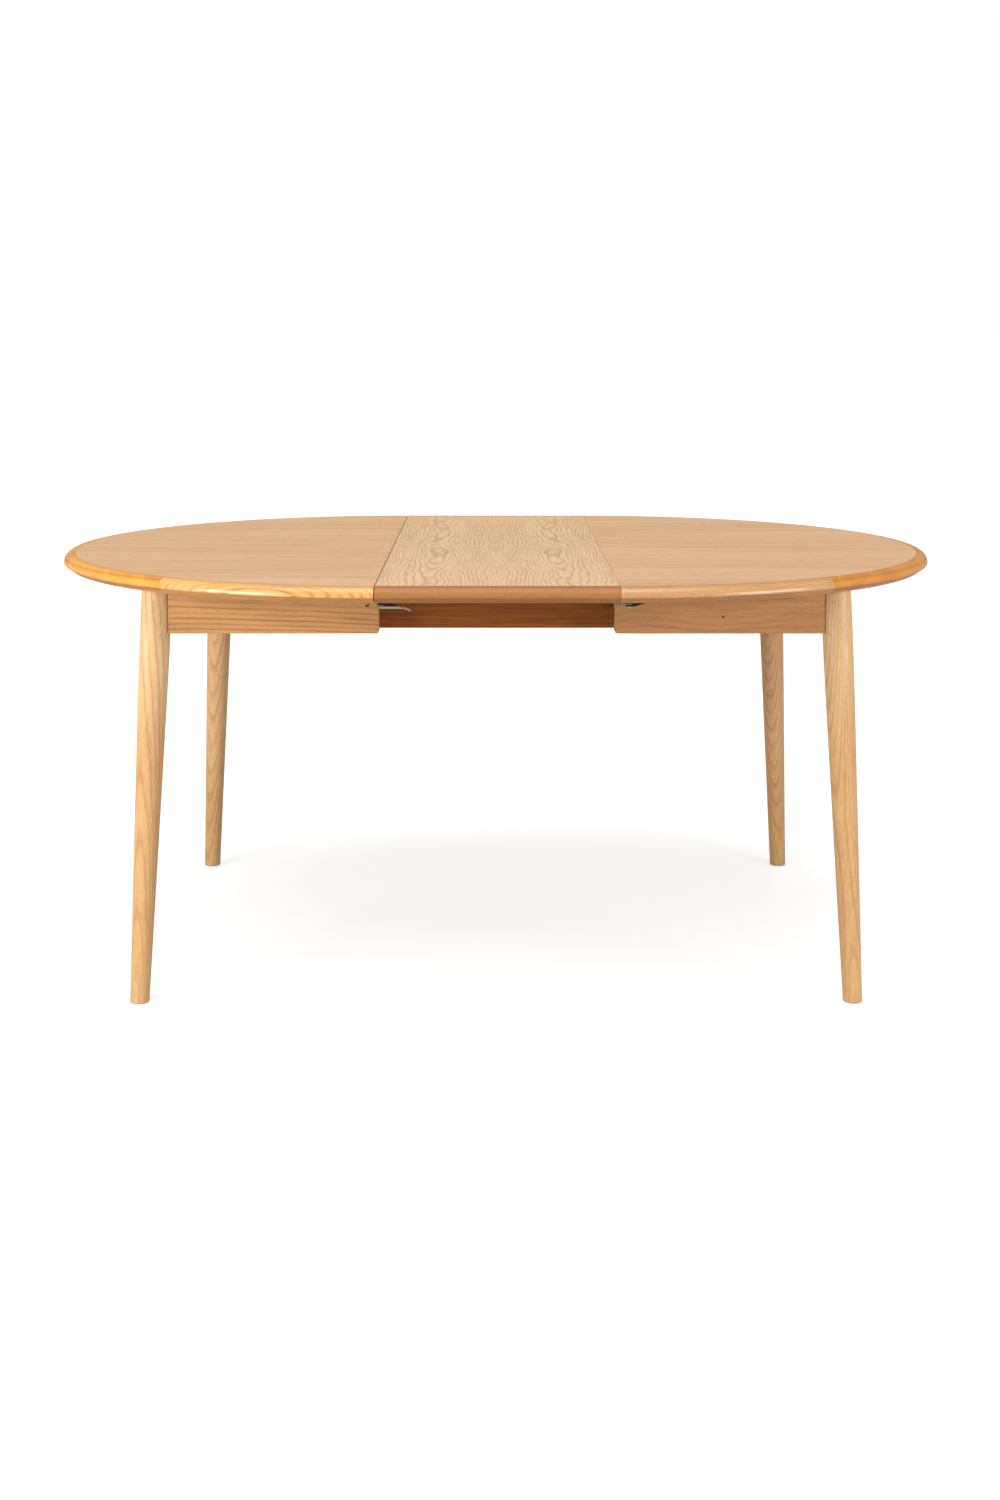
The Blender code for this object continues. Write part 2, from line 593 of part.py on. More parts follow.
def add_leaf_panel(name, end, panel_body):
    """One panel of the leaf, with its rounded end and the two hinge cups in its folding edge."""
    left, right = -HALF_SPACE + LEFT_SEAM, HALF_SPACE - RIGHT_SEAM
    inner, outer = end * FOLD_GAP / 2, end * (TOP_RADIUS - LIPPING_WIDTH - FIT / 2)
    low, high = between((left, inner, UNDERSIDE), (right, outer, HEIGHT))
    cup_z = HEIGHT - TOP_THICKNESS / 2
    mouth, bottom = end * FOLD_GAP, end * (FOLD_GAP + HINGE_CUP_DEPTH)
    places = [(cup_name, side * HINGE_CUP_X) for cup_name, side in SIDES]
    bores = [
        cylinder_mesh(HINGE_CUP_RADIUS + FIT, *sorted((-mouth, bottom + end * FIT)), (x, 0, cup_z), "Y", 20)
        for _, x in places
    ]
    add(f"leaf_{name}_panel", combine(box_mesh(low, high), bores, "DIFFERENCE"), leaf_veneer, panel_body)
    for cup_name, x in places:
        cup = cylinder_mesh(HINGE_CUP_RADIUS, *sorted((mouth, bottom)), (x, 0, cup_z), "Y", 20)
        add(f"leaf_{name}_{cup_name}_hinge_cup", cup, brass, panel_body)
    section = [(TOP_RADIUS - LIPPING_WIDTH + max(u, FIT / 2), z) for u, z in lipping_section()]
    edge = prism_mesh([(end * y, z) for y, z in section], left, right, "X")
    add(f"leaf_{name}_lipping", edge, solid_wood, panel_body)


clear_scene()
table = new_collection("extending_table")
cutters = new_collection("cutters")
cutters.hide_render = True

veneer = finish("veneer", (0.69, 0.47, 0.28), 0.45)
leaf_veneer = finish("leaf_veneer", (0.72, 0.50, 0.31), 0.45)
solid_wood = finish("solid_wood", (0.80, 0.45, 0.14), 0.38)
apron_wood = finish("apron_wood", (0.58, 0.32, 0.13), 0.45)
leg_wood = finish("leg_wood", (0.76, 0.52, 0.28), 0.42)
frame_wood = finish("frame_wood", (0.50, 0.27, 0.11), 0.55)
steel = finish("steel", (0.56, 0.55, 0.53), 0.32, 1.0)
brass = finish("brass", (0.72, 0.53, 0.25), 0.35, 1.0)

left_half = body("left_half", (-HALF_SPACE, 0, UNDERSIDE))
right_half = body("right_half", (HALF_SPACE, 0, UNDERSIDE))
leaf_front = body("leaf_front", (0, 0, HEIGHT))
leaf_back = body("leaf_back", (0, 0, HEIGHT + FOLD_GAP / 2), leaf_front)
pinion = body("pinion_axis", (0, 0, GEAR_LOW))

add_half("left", -1, left_half)
add_half("right", 1, right_half)
add_centre_frame()
add_leaf_panel("front", -1, leaf_front)
add_leaf_panel("back", 1, leaf_back)
add("pinion", pinion_mesh(), steel, pinion)
for (place, end), leaf in zip(ENDS, (leaf_front, leaf_back)):
    add_latch(
        f"left_{place}", end * LATCH_Y, LEFT_PIVOT, 0, LEFT_BAIL_REACH,
        leaf, left_half, f"left_{place}_keeper", LEFT_HOOK_X,
    )
    add_latch(
        f"right_{place}", end * LATCH_Y, RIGHT_PIVOT, LEVER_CLOSED, RIGHT_BAIL_REACH,
        right_half, leaf, f"right_{place}_keeper", RIGHT_HOOK_X,
    )
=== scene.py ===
"""The looks of a round extending table that stands open around its leaf.

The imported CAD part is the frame. Its wooden pieces are rebuilt here with smooth curves and
eased edges, its fittings keep their CAD shape with eased edges, and every piece gets a
procedural finish. +X runs along the table, +Y to its back, +Z up, in metres.
"""

import math

import bmesh
import bpy
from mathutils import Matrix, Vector


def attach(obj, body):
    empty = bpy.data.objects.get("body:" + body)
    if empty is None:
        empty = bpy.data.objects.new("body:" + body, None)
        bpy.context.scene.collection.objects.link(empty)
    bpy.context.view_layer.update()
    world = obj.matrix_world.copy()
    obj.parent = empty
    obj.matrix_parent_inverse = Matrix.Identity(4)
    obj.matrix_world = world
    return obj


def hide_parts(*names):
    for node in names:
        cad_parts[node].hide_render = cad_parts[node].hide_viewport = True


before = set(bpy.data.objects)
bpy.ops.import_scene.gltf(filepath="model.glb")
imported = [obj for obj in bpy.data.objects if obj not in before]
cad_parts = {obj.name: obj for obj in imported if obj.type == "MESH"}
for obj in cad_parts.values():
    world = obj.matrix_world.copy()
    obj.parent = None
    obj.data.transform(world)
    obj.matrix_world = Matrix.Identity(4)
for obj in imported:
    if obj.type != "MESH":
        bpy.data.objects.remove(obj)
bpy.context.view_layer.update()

# Sizes shared with the CAD part.
HEIGHT, UNDERSIDE = 0.750, 0.723
TOP_RADIUS, LIPPING_WIDTH, LIPPING_FLAT = 0.625, 0.021, 0.25
NOSE_DROP, BEVEL_RECESS = 0.0165, 0.0130
LIPPING_JOINT = math.radians(54)
HALF_SPACE = 0.200
LEFT_SEAM, RIGHT_SEAM, FOLD_GAP, FIT = 0.0015, 0.0005, 0.0004, 0.0003
FOOT_OFFSET, SHOULDER_X, SHOULDER_Y = 0.420, 0.391, 0.383
FOOT_RADIUS, FOOT_CHAMFER, LEG_TAPER = 0.0166, 0.0012, 0.0166
SHOULDER_RADIUS, SHOULDER_TAPER, LEG_BLEND = 0.0262, 0.0080, 0.0008
APRON_FACE, END_APRON_FACE = 0.401, 0.409
APRON_THICKNESS, APRON_LOW = 0.022, 0.640
APRON_SETBACK, APRON_CORNER = 0.0045, 0.005
CUP_X, CUP_BORE, CUP_DEPTH = 0.140, 0.0073, 0.0163

# Sizes of the visual pieces only.
LEG_CLEARANCE = 0.0018  # the dark line that shows where a side apron meets its leg
EASE = 0.0010  # rounding of an edge that a hand touches
JOINT_EASE = 0.0003  # rounding of an edge that meets its neighbour
SEAM_EASE = 0.0007  # rounding of the edges beside the leaf and along its fold
SHARP = math.radians(35)
ARC_STEP = math.radians(0.75)
NOSE_STEPS = 18
NOSE_HEEL = [(0.0002, 0.0008), (0.0006, 0.0016)]  # inwards and down, from nose to bevel
LEG_SEGMENTS, LEG_STEPS, LEG_START = 96, 60, 0.003
CUTTER_SEGMENTS, BORE_SEGMENTS = 64, 48
FOLD_REACH = 0.010  # what counts as beside the fold, and how far a bore's cutter stands out of it

SIDES = {"left": -1, "right": 1}
ENDS = {"front": -1, "back": 1}


# ---------------------------------------------------------------- finishes


def linear(code):
    """A colour written as RRGGBB in sRGB, as linear RGBA."""
    values = [int(code[i : i + 2], 16) / 255 for i in (0, 2, 4)]
    return (*(v / 12.92 if v <= 0.04045 else ((v + 0.055) / 1.055) ** 2.4 for v in values), 1.0)


class Graph:
    """A material and the nodes that are added to it."""

    def __init__(self, name):
        self.material = bpy.data.materials.new(name)
        self.material.use_nodes = True
        self.tree = self.material.node_tree
        self.shader = self.tree.nodes["Principled BSDF"]

    def feed(self, socket, value):
        if isinstance(value, bpy.types.NodeSocket):
            self.tree.links.new(value, socket)
        else:
            socket.default_value = value

    def shade(self, **values):
        """Feeds the shader's inputs, named with _ for each space."""
        for name, value in values.items():
            self.feed(self.shader.inputs[name.replace("_", " ")], value)

    def add(self, kind, inputs=None, output=0, **settings):
        """One output of a new node, whose inputs are fed with values or with other outputs."""
        node = self.tree.nodes.new("ShaderNode" + kind)
        for name, value in settings.items():
            setattr(node, name, value)
        for name, value in (inputs or {}).items():
            self.feed(node.inputs[name], value)
        return node.outputs[output]

    def math(self, operation, *values):
        return self.add("Math", dict(enumerate(values)), operation=operation)

    def vector(self, operation, *values, output=0):
        return self.add("VectorMath", dict(enumerate(values)), output, operation=operation)

    def mix(self, factor, first, second, blend="MIX"):
        """Two colours mixed; a Mix node holds them in its inputs 6 and 7, and gives them in 2."""
        inputs = {"Factor": factor, 6: first, 7: second}
        return self.add("Mix", inputs, 2, data_type="RGBA", blend_type=blend)

    def fade(self, value, start, end):
        """From 0 to 1 as the value goes from start to end."""
        return self.add("MapRange", {"Value": value, "From Min": start, "From Max": end})

    def height(self, place):
        return self.add("SeparateXYZ", {"Vector": place}, output=2)

    def noise(self, vector, scale, detail=2.0, output=0):
        """Noise from 0 to 1, as a level from output 0 or as a colour from output 1."""
        stretched = self.vector("MULTIPLY", vector, scale)
        return self.add("TexNoise", {"Vector": stretched, "Scale": 1.0, "Detail": detail}, output)

    def centred(self, value, reach):
        """A 0 to 1 noise moved to lie around 0, at most about half of reach either way."""
        return self.math("MULTIPLY", self.math("SUBTRACT", value, 0.5), reach)

    def ramp(self, value, stops):
        """A grey level between 0 and 1, read off a list of (place, level)."""
        node = self.tree.nodes.new("ShaderNodeValToRGB")
        elements = node.color_ramp.elements
        between = [elements.new(place) for place, _ in stops[1:-1]]
        for element, (_, level) in zip([elements[0], *between, elements[-1]], stops):
            element.color = (level, level, level, 1.0)
        self.feed(node.inputs["Fac"], value)
        return node.outputs["Color"]


GRAIN_X, GRAIN_Y, GRAIN_Z = (0, 0, 0), (0, 0, math.pi / 2), (0, -math.pi / 2, 0)
RING_PROFILE = [(0.0, 0.25), (0.35, 0.0), (0.62, 0.25), (0.86, 1.0), (0.96, 0.75), (1.0, 0.25)]
PORE_PROFILE = [(0.0, 0.80), (0.36, 0.84), (0.44, 1.0), (1.0, 1.0)]
KNOT = "5A3014"


def wood(
    name, light, dark, grain, pith, ring=0.005, lines=0.5, sway=0.02, sway_scale=(1.4, 7, 7),
    ripple=0.002, ripple_scale=(14, 40, 40), streaks=0.4, streak_scale=(5, 42, 42), fibres=0.3,
    tone=0.3, base=0.1, roughness=0.42, coat=0.1, specular=0.5, mirror=False, painted_shading=None, knots=(),
):
    """Wood cut from a trunk whose pith runs along the grain through a point.

    The noises' scales run along the grain and twice across it. Mirrored wood is matched in pairs
    about the middle of X. Its colour can be multiplied between two heights, by a factor for each
    channel, as painted light on the legs and painted shade on the rim's bevel, and it can hold knots.
    """
    g = Graph(name)
    place = g.add("TexCoord", output="Object")
    if mirror:
        place = g.vector("MAXIMUM", place, g.vector("MULTIPLY", place, (-1, 1, 1)))
    board = g.add("Mapping", {"Vector": place, "Location": pith, "Rotation": grain}, vector_type="TEXTURE")
    moved = board
    for scale, detail, reach in ((sway_scale, 1.0, sway), (ripple_scale, 2.0, ripple)):
        drift = g.vector("SUBTRACT", g.noise(board, scale, detail, output=1), (0.5, 0.5, 0.5))
        moved = g.vector("ADD", moved, g.vector("MULTIPLY", drift, (0, 2 * reach, 2 * reach)))
    radius = g.vector("LENGTH", g.vector("MULTIPLY", moved, (0, 1, 1)), output=1)
    rings = g.math("DIVIDE", radius, ring)
    strength = g.add("TexWhiteNoise", {"W": g.math("FLOOR", rings)}, noise_dimensions="1D")
    strength = g.add("MapRange", {"Value": strength, "To Min": 0.45, "To Max": 1.0})
    late = g.math("MULTIPLY", g.ramp(g.math("FRACT", rings), RING_PROFILE), strength)
    streak = g.noise(board, streak_scale, 3.0)
    fibre = g.noise(board, (22, 420, 420), 2.0)
    broad = g.noise(board, (1.6, 8, 8), 1.0)
    depth = g.math("ADD", g.math("MULTIPLY", late, lines), base)
    for value, reach in ((streak, streaks), (fibre, fibres), (broad, tone)):
        depth = g.math("ADD", depth, g.centred(value, 2 * reach))
    colour = g.mix(depth, linear(light), linear(dark))
    pores = g.ramp(g.noise(board, (70, 1100, 1100), 1.0), PORE_PROFILE)
    colour = g.mix(1.0, colour, pores, "MULTIPLY")
    # Painted light and shade: the colour is multiplied between two heights, lighter higher up on the legs and
    # darker on the bevel under the rim.
    if painted_shading:
        start, end, factors = painted_shading
        painted_shading_tint = g.mix(g.fade(g.height(place), start, end), (1, 1, 1, 1), (*factors, 1))
        colour = g.mix(1.0, colour, painted_shading_tint, "MULTIPLY")
    for *centre, size in knots:
        gap = g.vector("DISTANCE", place, centre, output=1)
        colour = g.mix(g.fade(gap, size, 0.4 * size), colour, linear(KNOT))
    relief = g.math("SUBTRACT", fibre, late)
    g.shade(
        Base_Color=colour,
        Roughness=g.math("ADD", g.centred(fibre, 0.12), roughness),
        Normal=g.add("Bump", {"Strength": 0.25, "Distance": 0.0002, "Height": relief}),
        Coat_Weight=coat,
        Coat_Roughness=0.28,
        Specular_IOR_Level=specular,
    )
    return g.material


def metal(name, colour, roughness, brushed=(60, 900, 900), above=None):
    """Plated metal with fine brush marks along one axis, and another colour above a height, as painted shade.
    """
    g = Graph(name)
    place = g.add("TexCoord", output="Object")
    marks = g.noise(place, brushed)
    cloud = g.noise(place, (90, 90, 90))
    base = linear(colour)
    # Painted shade: above the height the colour turns dark, for the part that sits in shade.
    if above:
        start, painted_shade_colour = above
        base = g.mix(g.fade(g.height(place), start, start + 0.0006), base, linear(painted_shade_colour))
    clouded = g.add("MapRange", {"Value": cloud, "To Min": 0.85, "To Max": 1.1})
    g.shade(
        Base_Color=g.mix(1.0, base, clouded, "MULTIPLY"),
        Roughness=g.math("ADD", g.centred(marks, 0.25), roughness),
        Normal=g.add("Bump", {"Strength": 0.2, "Distance": 0.0001, "Height": marks}),
        Metallic=1.0,
    )
    return g.material


RIM_LOOKS = {
    "left": dict(
        light="F4BE72", dark="BC7424", ring=0.0046, lines=0.62, sway=0.010, ripple=0.0016, rise=0.0
    ),
    "right": dict(
        light="DAA56C", dark="8E582A", ring=0.0042, lines=0.36, sway=0.008, ripple=0.0014, rise=0.22
    ),
}
TIP_LOOKS = {
    "left": dict(light="F7B04C", dark="A8560E", lines=0.60),
    "right": dict(light="E0963F", dark="944C10", lines=0.45),
}
FRONT_APRON_LOOKS = {
    "left": dict(
        light="DBA265", dark="8C5524", grain=(0, 0.02, 0), pith=(-0.4, -0.46, 0.715), ring=0.0052,
        lines=0.60, sway=0.014, sway_scale=(1.6, 8, 8),
    ),
    "right": dict(
        light="CB935C", dark="8E5A2C", grain=(0, -0.05, 0), pith=(0.4, -0.425, 0.70), ring=0.0085,
        lines=0.26, sway=0.034, sway_scale=(2.6, 5, 5), knots=[(0.393, -0.401, 0.669, 0.0034)],
    ),
}
# Painted shade under the rim's bevel, and painted light higher up on the legs: two heights, and what the
# colour is multiplied by from the first to the second.
BEVEL_PAINTED_SHADE = (0.7335, 0.7325, (0.85, 0.70, 0.50))
# Painted light: each leg grows paler and brighter from the first height to the second.
LEG_PAINTED_LIGHT = {
    "left_front_leg": (0.42, 0.62, (1.17, 1.36, 1.60)),
    "right_front_leg": (0.42, 0.62, (1.08, 1.20, 1.45)),
    "left_back_leg": (0.10, 0.45, (1.24, 1.36, 1.60)),
    "right_back_leg": (0.10, 0.45, (1.05, 1.05, 1.20)),
}
RIM_MIDDLE = 0.735
RIM_PITH_DEPTH, TIP_PITH_DEPTH = 0.075, 0.02
TIP_PITH_RISE = 11.9903  # so far up that the rings run level, with a dark one high on the nose


def lipping_wood(node, side, angle, depth, rise, **look):
    """Wood whose grain follows the chord of a rim piece, with its pith inside or above the rim, and painted
    shade on its bevel.
    """
    direction = angle if side > 0 else math.pi - angle
    reach = TOP_RADIUS - depth
    pith = (side * HALF_SPACE + reach * math.cos(direction), reach * math.sin(direction), RIM_MIDDLE + rise)
    return wood(node, grain=(0, 0, direction + math.pi / 2), pith=pith, painted_shading=BEVEL_PAINTED_SHADE, **look)


def half_finishes(name, side):
    """The woods of one half of the table, by the node that each is for."""
    woods = {}
    middle = (math.pi / 2 + LIPPING_JOINT) / 2
    for place, end in ENDS.items():
        node = f"{name}_{place}_lipping"
        woods[node] = lipping_wood(
            node, side, end * middle, RIM_PITH_DEPTH, streaks=0.25, roughness=0.28, coat=0.25,
            **RIM_LOOKS[name],
        )
    node = f"{name}_tip_lipping"
    woods[node] = lipping_wood(
        node, side, 0.0, TIP_PITH_DEPTH, TIP_PITH_RISE, ring=0.0160, sway=0.003, ripple=0.001,
        streaks=0.35, roughness=0.34, coat=0.1, **TIP_LOOKS[name],
    )
    woods[f"{name}_top"] = wood(
        f"{name}_top_veneer", "EFC69C", "B98450", GRAIN_X, (0, side * 0.9, 0.2),
        ring=0.017, lines=0.08, sway=0.02, streaks=0.42, streak_scale=(3, 130, 130), fibres=0.3, tone=0.16,
        base=0.26, roughness=0.65, coat=0.0, specular=0.25,
    )
    woods[f"{name}_end_apron"] = wood(
        f"{name}_end_apron", "D39E62", "9A6029", GRAIN_Y, (side * 0.64, 0, 0.66), ring=0.006,
    )
    woods[f"{name}_back_apron"] = wood(
        f"{name}_back_apron", "CC965A", "8F5A2A", (0, 0.04 * side, 0), (side * 0.4, 0.45, 0.69),
        ring=0.008, sway=0.018,
    )
    woods[f"{name}_front_apron"] = wood(
        f"{name}_front_apron", ripple=0.0006, streaks=0.4, **FRONT_APRON_LOOKS[name]
    )
    for place, end in ENDS.items():
        node = f"{name}_{place}_leg"
        # The legs carry painted light, paler and brighter higher on the leg.
        woods[node] = wood(
            node, "E6B67A", "B0733B", (0, -math.pi / 2 + 0.035, 0.012 * side),
            (side * 0.61 + 0.016, end * 0.41 + 0.022, 0.4),
            ring=0.0038, lines=0.46, sway=0.007, ripple=0.0008, streaks=0.25, tone=0.25,
            painted_shading=LEG_PAINTED_LIGHT[node],
        )
    return woods


def leaf_finishes():
    """The woods of the folding leaf, by the node that each is for."""
    woods = {}
    for place, end in ENDS.items():
        woods[f"leaf_{place}_panel"] = wood(
            f"leaf_{place}_veneer", "F0CCA4", "AC7648", GRAIN_Y, (0.113, 0.0, 0.706),
            ring=0.0054, lines=0.50, sway=0.024, sway_scale=(2.8, 8, 8), ripple=0.0040,
            ripple_scale=(13, 30, 30), streaks=0.15, tone=0.12, base=0.06, roughness=0.65, coat=0.0,
            specular=0.25, mirror=True,
        )
        woods[f"leaf_{place}_lipping"] = wood(
            f"leaf_{place}_lipping", "B27439", "8A572A", GRAIN_X, (0, end * 0.52, 0.72),
            ring=0.0045, lines=0.14, sway=0.004, ripple=0.0006, streaks=0.25, roughness=0.5, coat=0.0,
        )
    return woods


finishes = {**half_finishes("left", -1), **half_finishes("right", 1), **leaf_finishes()}


# ---------------------------------------------------------------- shapes


def even_normals(obj):
    """Keeps flat faces flat in the shading beside their rounded edges."""
    weighted = obj.modifiers.new("Normals", "WEIGHTED_NORMAL")
    weighted.keep_sharp = True
    weighted.weight = 100


def new_piece(node, bm, body):
    """A piece of the visual model in world coordinates, in the place of a CAD node."""
    bmesh.ops.recalc_face_normals(bm, faces=bm.faces[:])
    mesh = bpy.data.meshes.new(node + "_piece")
    bm.to_mesh(mesh)
    bm.free()
    mesh.polygons.foreach_set("use_smooth", [True] * len(mesh.polygons))
    mesh.set_sharp_from_angle(angle=SHARP)
    mesh.materials.append(finishes[node])
    obj = bpy.data.objects.new(node + "_piece", mesh)
    bpy.context.scene.collection.objects.link(obj)
    even_normals(obj)
    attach(obj, body)
    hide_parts(node)


def ease_edges(bm, width, chosen=lambda edge: True, segments=2):
    """Rounds the edges that turn sharply, of those that are chosen."""
    edges = [
        e for e in bm.edges
        if len(e.link_faces) == 2 and e.calc_face_angle() > SHARP and chosen(e)
    ]
    bmesh.ops.bevel(
        bm, geom=edges, offset=width, segments=segments, profile=0.5, affect="EDGES", clamp_overlap=True
    )


def loft(rings):
    """A closed solid through rings of points, each with as many points as the first."""
    bm = bmesh.new()
    rings = [[bm.verts.new(point) for point in ring] for ring in rings]
    bm.faces.new(rings[0])
    bm.faces.new(rings[-1])
    count = len(rings[0])
    for a, b in zip(rings, rings[1:]):
        for i in range(count):
            j = (i + 1) % count
            bm.faces.new((a[i], a[j], b[j], b[i]))
    bmesh.ops.recalc_face_normals(bm, faces=bm.faces[:])
    return bm


def prism(outline, start, end, along):
    """A flat outline made solid along an axis: (y, z) along X, (x, z) along Y, (x, y) along Z."""
    order = {"X": (2, 0, 1), "Y": (0, 2, 1), "Z": (0, 1, 2)}[along]
    return loft([[[(u, v, level)[i] for i in order] for u, v in outline] for level in (start, end)])


def arc(centre_u, centre_v, radius, start, end, steps):
    """Points at even steps along an arc, with both of its ends."""
    angles = [start + (end - start) * i / steps for i in range(steps + 1)]
    return [(centre_u + radius * math.cos(a), centre_v + radius * math.sin(a)) for a in angles]


def circle(centre_u, centre_v, radius, segments):
    return arc(centre_u, centre_v, radius, 0, 2 * math.pi, segments)[:-1]


def cut(bm, cutter):
    """The first shape less the second."""
    objects = []
    for shape in (bm, cutter):
        mesh = bpy.data.meshes.new("cut")
        shape.to_mesh(mesh)
        shape.free()
        objects.append(bpy.data.objects.new("cut", mesh))
        bpy.context.scene.collection.objects.link(objects[-1])
    base, tool = objects
    boolean = base.modifiers.new("Boolean", "BOOLEAN")
    boolean.object = tool
    bpy.context.view_layer.update()
    result = bmesh.new()
    result.from_object(base, bpy.context.evaluated_depsgraph_get())
    for obj in objects:
        mesh = obj.data
        bpy.data.objects.remove(obj)
        bpy.data.meshes.remove(mesh)
    return result


def lipping_section():
    """The rim's section from its inner edge: a short flat, a long nose and a bevel below."""
    flat = LIPPING_WIDTH * LIPPING_FLAT
    reach = LIPPING_WIDTH - flat
    section = [(FIT / 2, UNDERSIDE), (FIT / 2, HEIGHT)]
    for i in range(NOSE_STEPS + 1):
        angle = math.pi / 2 * i / NOSE_STEPS
        section.append((flat + reach * math.sin(angle), HEIGHT - NOSE_DROP * (1 - math.cos(angle))))
    section += [(LIPPING_WIDTH - inwards, HEIGHT - NOSE_DROP - down) for inwards, down in NOSE_HEEL]
    section.append((LIPPING_WIDTH - BEVEL_RECESS, UNDERSIDE))
    return section


def rim(centre_x, start, end):
    """A stretch of the round rim between two angles."""
    inner = TOP_RADIUS - LIPPING_WIDTH
    steps = round(abs(end - start) / ARC_STEP)
    rings = []
    for i in range(steps + 1):
        angle = start + (end - start) * i / steps
        c, s = math.cos(angle), math.sin(angle)
        rings.append([(centre_x + (inner + u) * c, (inner + u) * s, z) for u, z in lipping_section()])
    bm = loft(rings)
    beyond = inner + FIT
    ease_edges(bm, JOINT_EASE, lambda e: any(math.hypot(v.co.x - centre_x, v.co.y) > beyond for v in e.verts))
    return bm


def leg_radius(z):
    """A taper that grows upwards, blended into a shoulder that narrows to the top."""
    taper = FOOT_RADIUS + LEG_TAPER * z
    shoulder = SHOULDER_RADIUS + SHOULDER_TAPER * (UNDERSIDE - z)
    return (taper + shoulder) / 2 - math.hypot((taper - shoulder) / 2, LEG_BLEND)


def leg_profile():
    """The leg's radii and heights, from the rounded edge of its foot to its top."""
    profile = []
    for i in range(5):
        turn = math.pi / 2 * i / 4
        height = FOOT_CHAMFER * (1 - math.cos(turn))
        profile.append((leg_radius(0) - FOOT_CHAMFER * (1 - math.sin(turn)), height))
    rise = UNDERSIDE - FIT - LEG_START
    for i in range(LEG_STEPS + 1):
        z = LEG_START + rise * i / LEG_STEPS
        profile.append((leg_radius(z), z))
    return profile


def leg(side, end, spare=0.0, segments=LEG_SEGMENTS):
    """A turned leg that leans outwards both ways; spare makes it thicker, as a cutter."""
    rings = []
    for radius, z in leg_profile():
        x = FOOT_OFFSET + (SHOULDER_X - FOOT_OFFSET) * z / UNDERSIDE
        y = FOOT_OFFSET + (SHOULDER_Y - FOOT_OFFSET) * z / UNDERSIDE
        section = circle(side * (HALF_SPACE + x), end * y, radius + spare, segments)
        rings.append([(u, v, z) for u, v in section])
    return loft(rings)


def half_panel(side):
    """A half-round top inside its rim, with the edge at the leaf rounded."""
    radius = TOP_RADIUS - LIPPING_WIDTH - FIT / 2
    steps = round(math.pi / ARC_STEP)
    half_round = arc(0, 0, radius, -math.pi / 2, math.pi / 2, steps)
    bm = prism([(side * (HALF_SPACE + x), y) for x, y in half_round], UNDERSIDE, HEIGHT, "Z")
    seam = HALF_SPACE + JOINT_EASE
    ease_edges(bm, SEAM_EASE, lambda e: all(abs(v.co.x) < seam for v in e.verts))
    return bm


def side_apron(side, end):
    """The apron from beside the leaf to a leg, whose shape is cut out of its end."""
    start, stop = HALF_SPACE + APRON_SETBACK, HALF_SPACE + SHOULDER_X
    top = UNDERSIDE - FIT
    corner = arc(start + APRON_CORNER, APRON_LOW + APRON_CORNER, APRON_CORNER, math.pi, 1.5 * math.pi, 12)
    outline = [(side * x, z) for x, z in [(stop, top), (start, top), *corner, (stop, APRON_LOW)]]
    bm = prism(outline, end * (APRON_FACE - APRON_THICKNESS), end * APRON_FACE, "Y")
    ease_edges(bm, EASE, segments=3)
    return cut(bm, leg(side, end, LEG_CLEARANCE, CUTTER_SEGMENTS))


def end_apron(side):
    """The apron between the two legs of one half."""
    outer = HALF_SPACE + END_APRON_FACE
    inner = outer - APRON_THICKNESS
    outline = [(side * inner, APRON_LOW), (side * outer, APRON_LOW)]
    outline += [(side * outer, UNDERSIDE - FIT), (side * inner, UNDERSIDE - FIT)]
    bm = prism(outline, -SHOULDER_Y, SHOULDER_Y, "Y")
    ease_edges(bm, EASE, segments=3)
    for end in ENDS.values():
        bm = cut(bm, leg(side, end, FIT, CUTTER_SEGMENTS))
    return bm


def leaf_panel(end):
    """A panel of the leaf, with the bores of its two hinge cups in the folding edge."""
    left, right = -HALF_SPACE + LEFT_SEAM, HALF_SPACE - RIGHT_SEAM
    inner, outer = end * FOLD_GAP / 2, end * (TOP_RADIUS - LIPPING_WIDTH - FIT / 2)
    bm = prism([(inner, UNDERSIDE), (outer, UNDERSIDE), (outer, HEIGHT), (inner, HEIGHT)], left, right, "X")
    ease_edges(bm, SEAM_EASE, lambda e: all(abs(v.co.y) < FOLD_GAP for v in e.verts))
    ease_edges(bm, JOINT_EASE, lambda e: any(abs(v.co.y) > FOLD_REACH for v in e.verts))
    middle = (HEIGHT + UNDERSIDE) / 2
    for side in SIDES.values():
        mouth, bottom = -end * FOLD_REACH, end * (FOLD_GAP + CUP_DEPTH)
        bm = cut(bm, prism(circle(side * CUP_X, middle, CUP_BORE, BORE_SEGMENTS), mouth, bottom, "Y"))
    return bm


def leaf_lipping(end):
    """The straight stretch of rim on one panel of the leaf."""
    left, right = -HALF_SPACE + LEFT_SEAM, HALF_SPACE - RIGHT_SEAM
    inner = TOP_RADIUS - LIPPING_WIDTH
    bm = prism([(end * (inner + u), z) for u, z in lipping_section()], left, right, "X")
    ease_edges(bm, JOINT_EASE, lambda e: any(abs(v.co.y) > inner + FIT for v in e.verts))
    return bm


# ---------------------------------------------------------------- the table


